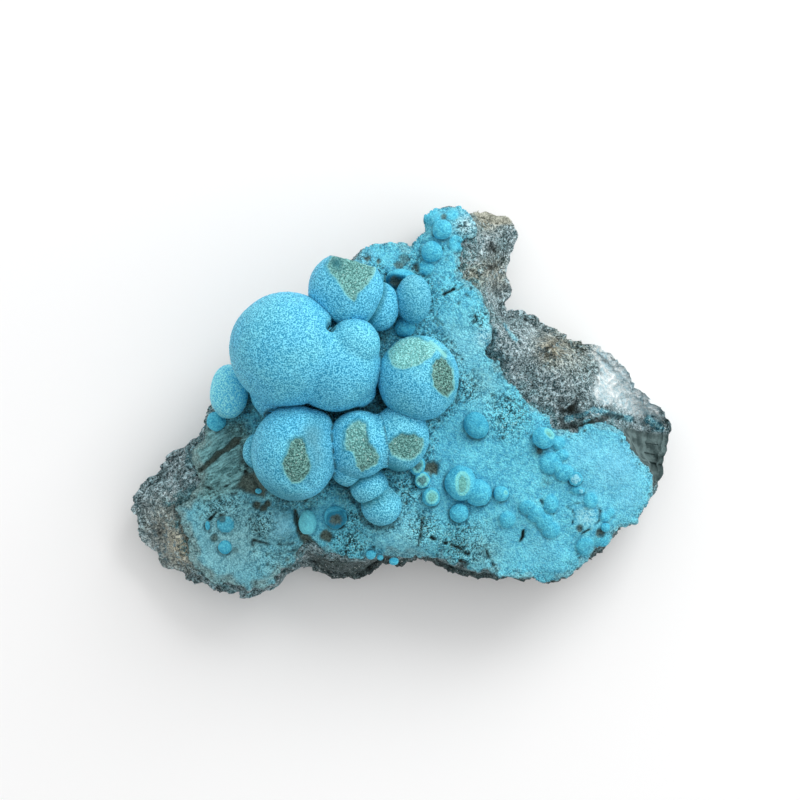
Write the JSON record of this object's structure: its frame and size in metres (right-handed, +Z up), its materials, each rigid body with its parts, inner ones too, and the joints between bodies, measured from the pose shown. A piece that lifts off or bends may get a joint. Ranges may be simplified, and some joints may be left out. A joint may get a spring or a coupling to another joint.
{
  "type": "chrysocolla and malachite specimen",
  "caption": "Mineral specimen: grey host rock under a sky-blue chrysocolla crust with a cluster of smooth chrysocolla balls, several worn open to green malachite.",
  "frame": {"origin": "middle of the flat broken back that the specimen rests on", "axes": "+Z up, out of the resting face and through the crust and its balls; +X along the specimen's length, towards its smooth crusted end; +Y towards the narrow knob"},
  "size_m": [0.1337, 0.097, 0.0516],
  "materials": {
    "chrysocolla": "fine sugary blue skin, satin, with green malachite where it is broken",
    "host_rock": "rough grey broken rock with pale quartz, dark pits and rust stains"
  },
  "bodies": {
    "root": {"matrix": "host_rock", "crust": "chrysocolla", "great_botryoid": "chrysocolla", "top_botryoid": "chrysocolla", "drop_botryoid": "chrysocolla", "right_botryoid": "chrysocolla", "lower_left_botryoid": "chrysocolla", "lower_middle_botryoid": "chrysocolla", "lower_right_botryoid": "chrysocolla", "left_botryoid": "chrysocolla"}
  },
  "joints": []
}
